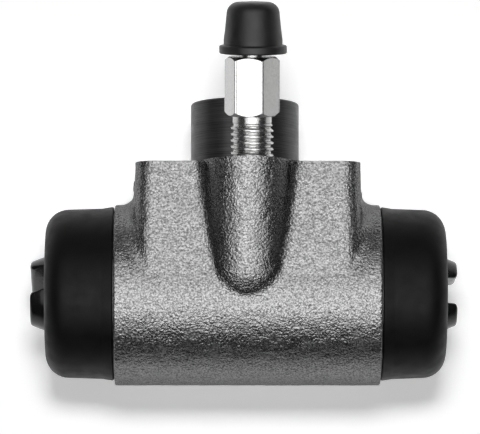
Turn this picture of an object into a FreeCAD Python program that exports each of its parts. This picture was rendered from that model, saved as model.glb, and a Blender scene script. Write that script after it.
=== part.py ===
import FreeCAD, Part
import math
import os

# Wheel cylinder of a drum brake, in millimetres.
# The origin is where the spigot's axis meets the mounting face.
# +X runs along the bore, +Y out of the mounting face, +Z towards the bleeder boss.

Vec = FreeCAD.Vector
ORIGIN = Vec(0, 0, 0)
X_AXIS = Vec(1, 0, 0)
Y_AXIS = Vec(0, 1, 0)
Z_AXIS = Vec(0, 0, 1)
LEFT = -1
RIGHT = 1
SAME = 0.001                # sizes that differ by less are taken as equal

# Casting
BORE_R = 19.05 / 2
BARREL_R = 14.7
BARREL_HALF = 21.5
BARREL_EDGE = 0.4
BORE_DROP = 19.98           # mounting face to bore axis
BARREL_DROP = 20.2          # mounting face to the cast barrel's own axis
CAST_X = 0.4                # the cast body sits this far to one side of the turned spigot
BLOCK_HALF = 18.1           # at the mounting face
BLOCK_DRAFT = 1.3           # degrees that each side leans out towards the barrel
BLOCK_CORNER_R = 3.0
BLOCK_ROOT_R = 2.4
BLOCK_DEPTH = 14.6          # the flats in front and behind lie just inside the barrel's radius
SPIGOT_R = 8.75
SPIGOT_HEIGHT = 10.9
SPIGOT_EDGE = 0.45
MACHINING_STOCK = 3.0       # metal above the mounting face before it is faced
OVERSHOOT = 1.0             # how far a joined solid runs into its neighbour, or a cut past a face

# Turned neck at each end of the casting, which carries the boot
NECK_R = 13.0
NECK_LENGTH = 4.6
BEAD_GROOVE_R = 12.2
BEAD_GROOVE_NEAR = 0.9      # from the casting's end face
BEAD_GROOVE_WIDTH = 2.2
BORE_LEAD = 0.7

# Brake pipe port in the spigot, tapped M10 x 1, and the two tapped M6 fixing holes
PORT_R = 4.46
PORT_DEPTH = 9.4
PORT_SEAT_DEPTH = 2.2
FEED_R = 1.25
FIXING_HOLE_R = 2.5
FIXING_HOLE_DEPTH = 9.0
FIXING_HOLE_X = 13.4
FIXING_HOLE_Z = -4.0
DRILL_POINT = 118.0         # degrees
HOLE_EDGE = 0.5

# Bleeder boss and screw, along one tilt. Heights are along it from the mounting face
BLEED_X = CAST_X + 0.63
BLEED_Z = 13.15
BLEED_TILT = 12.4           # degrees away from the mounting face's normal
BOSS_X = CAST_X - 0.05      # the cast boss lies a little to one side of the hole drilled in it
BOSS_R = 7.4
BOSS_ROOT_R = 2.2
BOSS_LENGTH = 16.6          # down to the centre of its rounded end
BLEED_THREAD_R = 3.5
BLEED_COUNTERBORE_DEPTH = 1.0
BLEED_HOLE_DEPTH = 8.8
SEAT_BOTTOM_DEPTH = BLEED_HOLE_DEPTH + BLEED_THREAD_R - FEED_R
BLEED_PASSAGE_DEPTH = 18.6
SCREW_FIT = 0.05
NOSE_R = 2.7
NOSE_TOP_DEPTH = 6.4
SEAT_FIT = 0.08
SCREW_NECK_R = 3.15
SCREW_NECK_HEIGHT = 1.15
HEX_FLATS = 7.8
HEX_BOTTOM = 7.4
HEX_TOP = 16.9
HEX_TURN = -7.6             # degrees about the axis
HEX_TOP_CHAMFER = 39.0      # degrees
HEX_BOTTOM_CHAMFER = 45.0
HEX_END_R = 3.78            # of the flat ring that the chamfers leave at each end
HEX_CHAMFER_RUN = 0.5       # how far the chamfers' cones run past the corners
NIPPLE_R = 2.15
NIPPLE_BARB_R = 2.5
NIPPLE_BARB_HEIGHT = 20.4
NIPPLE_BARB_EDGE = 0.3
NIPPLE_BARB_LAND = 0.5
NIPPLE_TOP_R = 1.7
NIPPLE_TOP = 24.0
SCREW_BORE_R = 1.2
SCREW_BORE_BOTTOM_DEPTH = 8.8
CROSS_HOLE_R = 0.8
CROSS_HOLE_DEPTH = 7.6

# Bleeder cap
CAP_BOTTOM = 17.4
CAP_TOP = 25.7
CAP_FLANGE_R = 5.35
CAP_FLANGE_HEIGHT = 1.35
CAP_FLANGE_EDGE = 0.2
CAP_FOOT_R = 4.6
CAP_SHOULDER_R = 4.05
CAP_CORNER_R = 1.9
CAP_BORE_R = 2.55
CAP_BORE_TOP = 24.5

# Pistons, measured inward from the tip of the slotted head
PISTON_R = 9.49
PISTON_TIP = {LEFT: 35.2, RIGHT: 34.0}      # from the middle of the casting
HEAD_R = 6.05
HEAD_CHAMFER = (2.3, 0.95)                  # along the axis, radial
SLOT_WIDTH = 4.0
SLOT_DEPTH = 5.2
SLOT_TURN = {LEFT: -23.2, RIGHT: -1.2}      # degrees about the bore axis
LIP_GROOVE_R = 4.7
LIP_GROOVE_NEAR = 6.2
LIP_GROOVE_WIDTH = 2.0
SHOULDER_NEAR = 9.4
SHOULDER_CONE = 1.4
PISTON_LENGTH = 22.0
PISTON_EDGE = 0.5

# Cup seal, its spreader and the spring between the two cups
CUP_GAP = 0.05              # to the piston, which may turn against it
CUP_R = 9.5
CUP_HEEL_R = 8.9
CUP_HEEL = 0.5
CUP_BASE = 2.2
CUP_LENGTH = 5.4
CUP_WALL = 1.7
CUP_LIP = 0.7
CUP_LIP_BEVEL = 0.9
CUP_CORNER = 0.8            # inside, between base and wall
SPREADER_GAP = 0.02
SPREADER_R = 7.3
SPREADER_FLOOR_R = 6.1
SPREADER_SHEET = 0.6
SPREADER_RISE = 2.4
SPREADER_HUB_R = 3.4
SPREADER_HOLE_R = 0.8
SPRING_R = 4.9
WIRE_R = 0.6
WIRE_SIDES = 6              # the round wire is drawn with flats
SPRING_TURNS = 5

# Dust boots, measured outward from the casting's end face
BOOT_GAP = 0.15
BOOT_REACH = {LEFT: 11.25, RIGHT: 10.65}    # end face to the outermost ring
BOOT_ROOT_R = 14.15
BOOT_SHOULDER_R = 13.8
BOOT_CORNER_R = 4.2
BOOT_RING_R = 8.2
BOOT_RING_EDGE = 0.6
BOOT_WALL = 1.3
BOOT_EDGE = 0.3
BOOT_FIT = 0.05             # to the neck
BOOT_RUNNING_GAP = 0.12     # to the piston's groove
DISH_CLEARANCE = 0.7        # round the piston's head


def side_axis(side):
    return Vec(side, 0, 0)


def end_face(side):
    return Vec(CAST_X + side * BARREL_HALF, -BORE_DROP, 0)


def tilted_point(height):
    """A point on the bleeder's axis."""
    return Vec(BLEED_X, 0, BLEED_Z) + tilted_axis() * height


def tilted_axis():
    tilt = math.radians(BLEED_TILT)
    return Vec(0, math.cos(tilt), math.sin(tilt))


def outline(start, *steps):
    """Closed face in the XY plane. A step is a point, or (a point on an arc, the arc's end)."""
    edges = []
    here = Vec(*start, 0)
    for step in steps + (start,):
        if isinstance(step[0], tuple):
            through = Vec(*step[0], 0)
            there = Vec(*step[1], 0)
            edges.append(Part.Arc(here, through, there).toShape())
        else:
            there = Vec(*step, 0)
            if (there - here).Length > SAME:
                edges.append(Part.makeLine(here, there))
        here = there
    return Part.Face(Part.Wire(edges))


def turned(face, base, axis):
    """Revolve a half section, drawn as (along the axis, radius), and stand it on the axis."""
    solid = face.revolve(ORIGIN, X_AXIS, 360)
    solid.Placement = FreeCAD.Placement(base, FreeCAD.Rotation(X_AXIS, axis))
    return solid


def rod(radius, start, end):
    return Part.makeCylinder(radius, (end - start).Length, start, end - start)


def box(low, high):
    return Part.makeBox(high[0] - low[0], high[1] - low[1], high[2] - low[2], Vec(*low))


def drilled(radius, depth, mouth, axis):
    """A blind drilled hole with a countersunk mouth and the drill's point, as a solid to cut."""
    point = radius / math.tan(math.radians(DRILL_POINT / 2))
    face = outline(
        (-HOLE_EDGE, 0),
        (-HOLE_EDGE, radius + 2 * HOLE_EDGE),
        (HOLE_EDGE, radius),
        (depth, radius),
        (depth + point, 0),
    )
    return turned(face, mouth, axis)


def cast_barrel():
    face = outline(
        (-BARREL_HALF, 0),
        (-BARREL_HALF, BARREL_R - BARREL_EDGE),
        (-BARREL_HALF + BARREL_EDGE, BARREL_R),
        (BARREL_HALF - BARREL_EDGE, BARREL_R),
        (BARREL_HALF, BARREL_R - BARREL_EDGE),
        (BARREL_HALF, 0),
    )
    return turned(face, Vec(CAST_X, -BARREL_DROP, 0), X_AXIS)


def cast_block():
    """The block between barrel and mounting face, drafted and with rounded upright corners."""
    lean = math.tan(math.radians(BLOCK_DRAFT))
    top_half = BLOCK_HALF - MACHINING_STOCK * lean
    root_half = BLOCK_HALF + BARREL_DROP * lean
    plan = Part.makePolygon([
        Vec(CAST_X - root_half, -BARREL_DROP, -BLOCK_DEPTH),
        Vec(CAST_X + root_half, -BARREL_DROP, -BLOCK_DEPTH),
        Vec(CAST_X + top_half, MACHINING_STOCK, -BLOCK_DEPTH),
        Vec(CAST_X - top_half, MACHINING_STOCK, -BLOCK_DEPTH),
        Vec(CAST_X - root_half, -BARREL_DROP, -BLOCK_DEPTH),
    ])
    block = Part.Face(plan).extrude(Z_AXIS * 2 * BLOCK_DEPTH)
    full_height = BARREL_DROP + MACHINING_STOCK
    uprights = [e for e in block.Edges if abs(e.BoundBox.YLength - full_height) < SAME]
    return block.makeFillet(BLOCK_CORNER_R, uprights)


def has_radius(face, kind, radius):
    return face.Surface.TypeId == kind and abs(face.Surface.Radius - radius) < SAME


def border(solid, belongs):
    """Edges where the faces that belong meet the other faces."""
    inner = [edge for face in solid.Faces if belongs(face) for edge in face.Edges]
    outer = [edge for face in solid.Faces if not belongs(face) for edge in face.Edges]
    return [edge for edge in inner if any(edge.isSame(other) for other in outer)]


def bleeder_boss():
    """Tilted round boss with a domed lower end."""
    aside = X_AXIS * (BOSS_X - BLEED_X)
    foot = tilted_point(-BOSS_LENGTH) + aside
    shaft = rod(BOSS_R, foot, tilted_point(2 * MACHINING_STOCK) + aside)
    return shaft.fuse(Part.makeSphere(BOSS_R, foot)).removeSplitter()


def rough_casting():
    """Barrel, block and bleeder boss with their cast fillets, then faced flat on three sides."""
    within = BARREL_HALF - OVERSHOOT
    body = cast_barrel().fuse(cast_block()).removeSplitter()
    root = [
        edge for edge in border(body, lambda face: has_radius(face, "Part::GeomCylinder", BARREL_R))
        if abs(edge.BoundBox.XMin - CAST_X) < within and abs(edge.BoundBox.XMax - CAST_X) < within
    ]
    body = body.makeFillet(BLOCK_ROOT_R, root)

    def on_boss(face):
        shaft = has_radius(face, "Part::GeomCylinder", BOSS_R)
        return shaft or has_radius(face, "Part::GeomSphere", BOSS_R)

    body = body.fuse(bleeder_boss()).removeSplitter()
    foot = [
        edge for edge in border(body, on_boss)
        if edge.BoundBox.YMin < MACHINING_STOCK - SAME and edge.BoundBox.YMax < MACHINING_STOCK + SAME
    ]
    body = body.makeFillet(BOSS_ROOT_R, foot)
    far = 2 * BARREL_HALF
    return body.common(box((-far, -far, -BLOCK_DEPTH), (far, 0, far)))


def spigot():
    face = outline(
        (-OVERSHOOT, 0),
        (-OVERSHOOT, SPIGOT_R),
        (SPIGOT_HEIGHT - SPIGOT_EDGE, SPIGOT_R),
        (SPIGOT_HEIGHT, SPIGOT_R - SPIGOT_EDGE),
        (SPIGOT_HEIGHT, 0),
    )
    return turned(face, ORIGIN, Y_AXIS)


def boot_neck(side):
    """Turned ring beyond the casting's end face, grooved for the boot's bead."""
    groove_far = BEAD_GROOVE_NEAR + BEAD_GROOVE_WIDTH
    face = outline(
        (-OVERSHOOT, BORE_R),
        (-OVERSHOOT, NECK_R),
        (BEAD_GROOVE_NEAR, NECK_R),
        (BEAD_GROOVE_NEAR, BEAD_GROOVE_R),
        (groove_far, BEAD_GROOVE_R),
        (groove_far, NECK_R),
        (NECK_LENGTH - BORE_LEAD, NECK_R),
        (NECK_LENGTH, NECK_R - BORE_LEAD),
        (NECK_LENGTH, BORE_R),
    )
    return turned(face, end_face(side), side_axis(side))


def main_bore():
    """The bore right through, with a lead-in chamfer at each end."""
    half = BARREL_HALF + NECK_LENGTH
    face = outline(
        (-half - OVERSHOOT, 0),
        (-half - OVERSHOOT, BORE_R + BORE_LEAD + OVERSHOOT),
        (-half + BORE_LEAD, BORE_R),
        (half - BORE_LEAD, BORE_R),
        (half + OVERSHOOT, BORE_R + BORE_LEAD + OVERSHOOT),
        (half + OVERSHOOT, 0),
    )
    return turned(face, Vec(CAST_X, -BORE_DROP, 0), X_AXIS)


def pipe_port():
    """Brake pipe port: tapped hole, raised-edge flare seat and the feed passage to the bore."""
    feed_end = SPIGOT_HEIGHT + BORE_DROP - BORE_R + OVERSHOOT
    face = outline(
        (-OVERSHOOT, 0),
        (-OVERSHOOT, PORT_R + OVERSHOOT + HOLE_EDGE),
        (HOLE_EDGE, PORT_R),
        (PORT_DEPTH, PORT_R),
        (PORT_DEPTH + PORT_SEAT_DEPTH, FEED_R),
        (feed_end, FEED_R),
        (feed_end, 0),
    )
    return turned(face, Vec(0, SPIGOT_HEIGHT, 0), -Y_AXIS)


def bleeder_hole():
    """Tapped hole, cone seat and passage into the top of the bore, down the tilted axis."""
    face = outline(
        (-OVERSHOOT, 0),
        (-OVERSHOOT, BLEED_THREAD_R + HOLE_EDGE),
        (BLEED_COUNTERBORE_DEPTH, BLEED_THREAD_R + HOLE_EDGE),
        (BLEED_COUNTERBORE_DEPTH + HOLE_EDGE, BLEED_THREAD_R),
        (BLEED_HOLE_DEPTH, BLEED_THREAD_R),
        (SEAT_BOTTOM_DEPTH, FEED_R),
        (BLEED_PASSAGE_DEPTH, FEED_R),
        (BLEED_PASSAGE_DEPTH, 0),
    )
    return turned(face, tilted_point(0), -tilted_axis())


def cylinder_body():
    """The casting with everything that is machined into it."""
    body = rough_casting().fuse([spigot(), boot_neck(LEFT), boot_neck(RIGHT)])
    cuts = [main_bore(), pipe_port(), bleeder_hole()]
    for x in (-FIXING_HOLE_X, FIXING_HOLE_X):
        cuts.append(drilled(FIXING_HOLE_R, FIXING_HOLE_DEPTH, Vec(x, 0, FIXING_HOLE_Z), -Y_AXIS))
    return body.cut(cuts).removeSplitter()


def hexagon():
    """Hexagonal bar along X with both ends chamfered by a cone."""
    corner = HEX_FLATS / math.sqrt(3)
    points = []
    for k in range(7):
        angle = math.radians(60 * k + HEX_TURN)
        points.append(Vec(HEX_BOTTOM, corner * math.cos(angle), corner * math.sin(angle)))
    bar = Part.Face(Part.makePolygon(points)).extrude(X_AXIS * (HEX_TOP - HEX_BOTTOM))
    rise = corner + HEX_CHAMFER_RUN - HEX_END_R
    top_drop = rise * math.tan(math.radians(HEX_TOP_CHAMFER))
    bottom_rise = rise * math.tan(math.radians(HEX_BOTTOM_CHAMFER))
    envelope = outline(
        (HEX_BOTTOM, 0),
        (HEX_BOTTOM, HEX_END_R),
        (HEX_BOTTOM + bottom_rise, HEX_END_R + rise),
        (HEX_TOP - top_drop, HEX_END_R + rise),
        (HEX_TOP, HEX_END_R),
        (HEX_TOP, 0),
    )
    return bar.common(envelope.revolve(ORIGIN, X_AXIS, 360))


def bleeder_screw():
    """Hollow screw: cone nose, threaded shank, neck, hexagon and the hose nipple."""
    thread_r = BLEED_THREAD_R - SCREW_FIT
    neck_bottom = HEX_BOTTOM - SCREW_NECK_HEIGHT
    cone_start = BLEED_HOLE_DEPTH + BLEED_THREAD_R - NOSE_R - SEAT_FIT
    nose_end_r = FEED_R + SEAT_FIT
    cone_end = cone_start + NOSE_R - nose_end_r
    shank = outline(
        (-cone_end, 0),
        (-cone_end, nose_end_r),
        (-cone_start, NOSE_R),
        (-NOSE_TOP_DEPTH, NOSE_R),
        (-NOSE_TOP_DEPTH + thread_r - NOSE_R, thread_r),
        (neck_bottom - thread_r + SCREW_NECK_R, thread_r),
        (neck_bottom, SCREW_NECK_R),
        (HEX_BOTTOM + OVERSHOOT, SCREW_NECK_R),
        (HEX_BOTTOM + OVERSHOOT, 0),
    ).revolve(ORIGIN, X_AXIS, 360)
    barb = NIPPLE_BARB_HEIGHT + NIPPLE_BARB_EDGE
    nipple = outline(
        (HEX_TOP - OVERSHOOT, 0),
        (HEX_TOP - OVERSHOOT, NIPPLE_R),
        (NIPPLE_BARB_HEIGHT, NIPPLE_R),
        (barb, NIPPLE_BARB_R),
        (barb + NIPPLE_BARB_LAND, NIPPLE_BARB_R),
        (NIPPLE_TOP, NIPPLE_TOP_R),
        (NIPPLE_TOP, 0),
    ).revolve(ORIGIN, X_AXIS, 360)
    centre_hole = outline(
        (-SCREW_BORE_BOTTOM_DEPTH, 0),
        (-SCREW_BORE_BOTTOM_DEPTH, SCREW_BORE_R),
        (NIPPLE_TOP + OVERSHOOT, SCREW_BORE_R),
        (NIPPLE_TOP + OVERSHOOT, 0),
    ).revolve(ORIGIN, X_AXIS, 360)
    across = X_AXIS * -CROSS_HOLE_DEPTH
    cross_half = Z_AXIS * (NOSE_R + OVERSHOOT)
    cross_hole = rod(CROSS_HOLE_R, across - cross_half, across + cross_half)
    screw = shank.fuse([hexagon(), nipple]).cut([centre_hole, cross_hole]).removeSplitter()
    return place_on_tilt(screw)


def place_on_tilt(solid):
    """Move a solid drawn along X, with Z in front, onto the bleeder's axis."""
    solid.rotate(ORIGIN, Z_AXIS, 90)
    solid.rotate(ORIGIN, X_AXIS, BLEED_TILT)
    solid.translate(tilted_point(0))
    return solid


def bleeder_cap():
    """Rubber cap: flange, tapered wall, rounded top, and a blind bore over the nipple."""
    flange_top = CAP_BOTTOM + CAP_FLANGE_HEIGHT
    corner_start = CAP_TOP - CAP_CORNER_R
    slant = CAP_CORNER_R * math.sqrt(0.5)
    rim = CAP_FLANGE_EDGE
    face = outline(
        (CAP_BOTTOM, CAP_BORE_R),
        (CAP_BOTTOM, CAP_FLANGE_R - rim),
        (CAP_BOTTOM + rim, CAP_FLANGE_R),
        (flange_top - rim, CAP_FLANGE_R),
        (flange_top, CAP_FLANGE_R - rim),
        (flange_top, CAP_FOOT_R),
        (corner_start, CAP_SHOULDER_R),
        ((corner_start + slant, CAP_SHOULDER_R - CAP_CORNER_R + slant),
         (CAP_TOP, CAP_SHOULDER_R - CAP_CORNER_R)),
        (CAP_TOP, 0),
        (CAP_BORE_TOP, 0),
        (CAP_BORE_TOP, CAP_BORE_R),
    )
    return place_on_tilt(face.revolve(ORIGIN, X_AXIS, 360))


def piston(side):
    """Piston with a slotted head, drawn inward from its tip."""
    axial, radial = HEAD_CHAMFER
    groove_far = LIP_GROOVE_NEAR + LIP_GROOVE_WIDTH
    face = outline(
        (0, 0),
        (0, HEAD_R - radial),
        (-axial, HEAD_R),
        (-LIP_GROOVE_NEAR, HEAD_R),
        (-LIP_GROOVE_NEAR, LIP_GROOVE_R),
        (-groove_far, LIP_GROOVE_R),
        (-groove_far, HEAD_R),
        (-SHOULDER_NEAR, HEAD_R),
        (-SHOULDER_NEAR - SHOULDER_CONE, PISTON_R),
        (-PISTON_LENGTH + PISTON_EDGE, PISTON_R),
        (-PISTON_LENGTH, PISTON_R - PISTON_EDGE),
        (-PISTON_LENGTH, 0),
    )
    solid = face.revolve(ORIGIN, X_AXIS, 360)
    reach = HEAD_R + OVERSHOOT
    slot = box((-SLOT_DEPTH, -SLOT_WIDTH / 2, -reach), (OVERSHOOT, SLOT_WIDTH / 2, reach))
    solid = solid.cut(slot)
    if side == LEFT:
        solid.rotate(ORIGIN, Y_AXIS, 180)
    solid.rotate(ORIGIN, X_AXIS, SLOT_TURN[side])
    solid.translate(Vec(CAST_X + side * PISTON_TIP[side], -BORE_DROP, 0))
    return solid


def cup_back(side):
    """The middle of the cup's flat back, which faces the piston."""
    return Vec(CAST_X + side * (PISTON_TIP[side] - PISTON_LENGTH - CUP_GAP), -BORE_DROP, 0)


def cup_seal(side):
    """Rubber cup whose lip opens towards the fluid, drawn from its back."""
    wall_r = CUP_R - CUP_WALL
    face = outline(
        (0, 0),
        (0, CUP_HEEL_R),
        (CUP_HEEL, CUP_R),
        (CUP_LENGTH - CUP_LIP_BEVEL, CUP_R),
        (CUP_LENGTH, CUP_R - CUP_LIP),
        (CUP_BASE + CUP_CORNER, wall_r),
        (CUP_BASE, wall_r - CUP_CORNER),
        (CUP_BASE, 0),
    )
    return turned(face, cup_back(side), side_axis(-side))


def cup_spreader(side):
    """Pressed steel dish that holds the cup's lip open and centres the spring."""
    floor = CUP_BASE + SPREADER_GAP
    top = floor + SPREADER_RISE
    sheet = SPREADER_SHEET
    hub = SPREADER_HUB_R
    face = outline(
        (floor, SPREADER_HOLE_R),
        (floor, SPREADER_FLOOR_R),
        (top, SPREADER_R),
        (top, SPREADER_R - sheet),
        (floor + sheet, SPREADER_FLOOR_R - sheet),
        (floor + sheet, hub),
        (top, hub),
        (top, hub - sheet),
        (floor + sheet, hub - sheet),
        (floor + sheet, SPREADER_HOLE_R),
    )
    return turned(face, cup_back(side), side_axis(-side))


def spring_seat(side):
    """Where the spring's end turn lies on the spreader's floor."""
    return cup_back(side).x - side * (CUP_BASE + 2 * SPREADER_GAP + SPREADER_SHEET)


def return_spring():
    """Compression spring between the two spreaders."""
    start = spring_seat(LEFT) + WIRE_R
    length = spring_seat(RIGHT) - WIRE_R - start
    pitch = length / SPRING_TURNS
    rise = math.atan2(pitch, 2 * math.pi * SPRING_R)
    across = Vec(0, -math.sin(rise), math.cos(rise))
    points = []
    for k in range(WIRE_SIDES + 1):
        angle = 2 * math.pi * k / WIRE_SIDES
        points.append(X_AXIS * (SPRING_R + WIRE_R * math.cos(angle)) + across * WIRE_R * math.sin(angle))
    helix = Part.makeHelix(pitch, length, SPRING_R)
    spring = Part.Wire(helix).makePipeShell([Part.makePolygon(points)], True, True)
    spring.rotate(ORIGIN, Y_AXIS, 90)
    spring.translate(Vec(start, -BORE_DROP, 0))
    return spring


def dust_boot(side):
    """Rubber boot: bead in the neck's groove, straight wall, big corner, dished end and a lip."""
    reach = BOOT_REACH[side]
    wall = BOOT_WALL
    slant = BOOT_CORNER_R * math.sqrt(0.5)
    corner_x = reach - BOOT_CORNER_R
    corner_r = BOOT_SHOULDER_R - BOOT_CORNER_R
    inner_r = NECK_R + BOOT_FIT
    bead_r = BEAD_GROOVE_R + BOOT_FIT
    bead_near = BEAD_GROOVE_NEAR + BOOT_FIT
    bead_far = BEAD_GROOVE_NEAR + BEAD_GROOVE_WIDTH - BOOT_FIT
    tip = PISTON_TIP[side] - BARREL_HALF
    lip_r = LIP_GROOVE_R + BOOT_RUNNING_GAP
    lip_out = tip - LIP_GROOVE_NEAR - BOOT_RUNNING_GAP
    lip_in = tip - LIP_GROOVE_NEAR - LIP_GROOVE_WIDTH + BOOT_RUNNING_GAP
    dish_r = HEAD_R + DISH_CLEARANCE
    face = outline(
        (BOOT_GAP, inner_r),
        (BOOT_GAP, BOOT_ROOT_R - BOOT_EDGE),
        (BOOT_GAP + BOOT_EDGE, BOOT_ROOT_R),
        (corner_x, BOOT_SHOULDER_R),
        ((corner_x + slant, corner_r + slant), (reach, corner_r)),
        (reach, BOOT_RING_R),
        (reach - BOOT_RING_EDGE, BOOT_RING_R - BOOT_RING_EDGE),
        (lip_out, dish_r),
        (lip_out, lip_r),
        (lip_in, lip_r),
        (lip_in, dish_r + wall),
        (reach - wall, BOOT_RING_R + BOOT_EDGE),
        (reach - wall, corner_r),
        (corner_x, BOOT_SHOULDER_R - wall),
        (NECK_LENGTH + BOOT_GAP, inner_r),
        (bead_far, inner_r),
        (bead_far, bead_r),
        (bead_near, bead_r),
        (bead_near, inner_r),
    )
    return turned(face, end_face(side), side_axis(side))


def write(name, shape):
    """Each piece is one sound solid in a file of its own."""
    solid = shape.Solids[0]
    if len(shape.Solids) != 1 or not solid.isValid():
        raise ValueError(name + " is not a valid solid")
    solid.exportStep("parts/" + name + ".step")


def main():
    os.makedirs("parts", exist_ok=True)
    write("cylinder_body", cylinder_body())
    write("bleeder_screw", bleeder_screw())
    write("bleeder_cap", bleeder_cap())
    write("return_spring", return_spring())
    for side, word in ((LEFT, "left"), (RIGHT, "right")):
        write("piston_" + word, piston(side))
        write("cup_seal_" + word, cup_seal(side))
        write("cup_spreader_" + word, cup_spreader(side))
        write("boot_" + word, dust_boot(side))


main()
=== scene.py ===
import math

import bmesh
import bpy
import numpy as np
from mathutils import Matrix, Vector, noise


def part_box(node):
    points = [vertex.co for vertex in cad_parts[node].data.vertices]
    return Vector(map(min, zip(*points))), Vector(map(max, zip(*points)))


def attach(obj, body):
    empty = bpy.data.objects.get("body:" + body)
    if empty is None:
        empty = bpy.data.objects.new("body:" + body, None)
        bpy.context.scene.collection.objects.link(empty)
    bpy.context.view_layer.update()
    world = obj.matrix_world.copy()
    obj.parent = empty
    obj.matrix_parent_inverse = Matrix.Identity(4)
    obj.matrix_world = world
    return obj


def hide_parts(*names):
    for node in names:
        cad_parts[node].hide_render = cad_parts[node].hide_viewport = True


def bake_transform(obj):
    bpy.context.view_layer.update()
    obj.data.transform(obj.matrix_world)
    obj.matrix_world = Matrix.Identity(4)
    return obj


# Wheel cylinder of a drum brake. Lengths are in millimetres until a mesh, light or camera is made.
# The origin is where the spigot's axis meets the mounting face.
# +X runs along the bore, +Y out of the mounting face, +Z up from the floor that the flat back lies on.
MM = 0.001
PHOTO_SIZE = (480, 434)
LEFT, RIGHT = -1, 1
SIDES = {"left": LEFT, "right": RIGHT}
OVERSHOOT = 1.0             # how far a joined solid runs into its neighbour, or a cut past a face
WELD = 1e-7                 # metres, within which two mesh points become one

# Casting
CAST_X = 0.4                # the casting lies this far to one side of the spigot
BARREL_R = 14.7
BARREL_DROP = 20.2          # mounting face to the cast barrel's axis
BARREL_HALF = 21.5
BARREL_EDGE = 0.22
BORE_R = 9.525
BORE_DROP = 19.98           # mounting face to the bore's axis
BORE_LEAD = 0.7
BLOCK_HALF = 18.1
BLOCK_DRAFT = 1.3           # degrees
BLOCK_CORNER_R = 3.0
BLOCK_DEPTH = 14.6
BLOCK_ROOT_R = 2.4
ROOT_FADE = 3.0             # the root fillet dies out over this height above the barrel's axis
ROOT_LEAST = 0.01           # share of the root fillet that is left below that
SQUARE_LEAST = 0.02         # surfaces nearer to tangent than this get no fillet
SLOPE_LEAST = 0.05          # keeps a pulled point from leaping where a distance is flat
STOCK = 3.0                 # metal above the mounting face before it is faced
STOCK_TOP = 0.6             # of it stays as it was meshed
SPIGOT_R = 8.8
SPIGOT_HEIGHT = 11.15
SPIGOT_EDGE_R = 0.4
NECK_R = 13.0
NECK_LENGTH = 4.6
NECK_EDGE_R = 0.1
NECK_END_R = 0.5
BEAD_GROOVE = (0.9, 3.1, 12.2)      # near and far wall from the end face, radius of its floor
PORT_R = 4.46
PORT_DEPTH = 9.4
PORT_SEAT_DEPTH = 2.2
FEED_R = 1.25
FIXING_HOLE_X = 13.4
FIXING_HOLE_Z = -4.0
FIXING_HOLE_R = 2.5
FIXING_HOLE_DEPTH = 9.0
DRILL_POINT_DEPTH = 1.5
HOLE_EDGE = 0.5
CAST_GRID = 0.3             # spacing of the casting's mesh
SKIN_REACH = 0.3            # a face nearer than this to the cast form is cast skin
FACED_REACH = 0.01          # a face nearer than this to a machined plane lies on it

# Cast skin
PEEL_WAVE = 1.5             # width of the larger bumps
PEEL_FINER = 1.9            # how many smaller bumps lie in one of the larger
PEEL_APART = Vector((7, 3, 5))      # shift between the two
PEEL_SHARES = (0.6, 0.5)
PEEL_SUNK = 0.5
PEEL_DEEPEST = -1.2
PEEL_HEIGHT = 0.075
FLASH_HEIGHT = 0.5          # thin ridge where the mould's halves met, down the block's sides
FLASH_WIDTH = 0.4
FLASH_TOP = -1.3
FLASH_TOP_FADE = 0.3
FLASH_SIDE_FADE = 0.5
FLASH_FOOT_FADE = 2.0
FLASH_WAVE = 1.1
FLASH_WANDER = 0.4
FLASH_MEAN = 0.85           # its height varies round this share
FLASH_RAGGED = 0.5

# Bleeder. Heights are along its axis from the mounting face
BLEED_BASE = Vector((CAST_X + 0.63, 0, 13.15))
BLEED_TILT = math.radians(12.4)
BLEED_HOLE_R = 3.5
BLEED_COUNTERBORE_DEPTH = 1.0
BLEED_HOLE_DEPTH = 8.8
BLEED_SEAT_DEPTH = BLEED_HOLE_DEPTH + BLEED_HOLE_R - FEED_R
BLEED_PASSAGE_DEPTH = 18.6
BOSS_BASE = Vector((CAST_X - 0.05, 0, 13.15))
BOSS_R = 7.4
BOSS_ROOT_R = 2.2
BOSS_LENGTH = 16.6
BOSS_DOME_STEPS = 12
THREAD_R = 3.45
THREAD_DEPTH = 0.42
THREAD_PITCH = 1.0
THREAD_TOP = 6.3
THREAD_BOTTOM = -6.3
THREAD_FOOT = 0.45          # half the ridge's foot, in pitches
THREAD_FLANK = 0.33         # in pitches
THREAD_RUN_OUT = 0.6
THREAD_ROWS = 14            # rings of points in a pitch
NOSE = ((-10.9, 0), (-10.9, 1.3), (-9.5, 2.7), (-6.4, 2.7))     # height, radius
SCREW_NECK_R = 3.15
SCREW_NECK_STEP = 0.05
HEX_FLATS = 7.8
HEX_BOTTOM = 7.4
HEX_TOP = 16.9
HEX_TURN = math.radians(-9)
HEX_EDGE_R = 0.22
HEX_END_R = 3.78            # where the chamfers start
HEX_END_INSET = 0.1
HEX_TOP_CHAMFER = math.radians(39)
HEX_BOTTOM_CHAMFER = math.radians(45)
HEX_STEPS = (               # degrees across a side, close together at its edges
    0, 0.8, 1.6, 2.4, 3.4, 5, 8, 12, 16, 20, 25, 30, 35, 40, 44, 48, 52, 55, 56.6, 57.6, 58.4, 59.2,
)
HEX_CHAMFER_STEPS = (0, 0.5, 1)
HEX_SIDE_STEPS = (0.08, 0.35, 0.65, 0.92)
NIPPLE_R = 2.15
NIPPLE_BARB_R = 2.5
NIPPLE_BARB = (20.4, 20.7, 21.2)    # foot, edge and end of its land
NIPPLE_TOP_R = 1.7
NIPPLE_TOP = 24.0
SCREW_BORE_R = 1.2
CAP_BOTTOM = 17.4
CAP_FLANGE_TOP = 18.75
CAP_TOP = 25.63
CAP_FLANGE_R = 5.43
CAP_FOOT_R = 4.72
CAP_FOOT_STEP = 0.2
CAP_WALL = ((19.6, 4.72, 0.3), (21.4, 4.5, 0), (23.6, 4.28, 0))     # height, radius, rounding
CAP_TOP_R = 4.12
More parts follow.
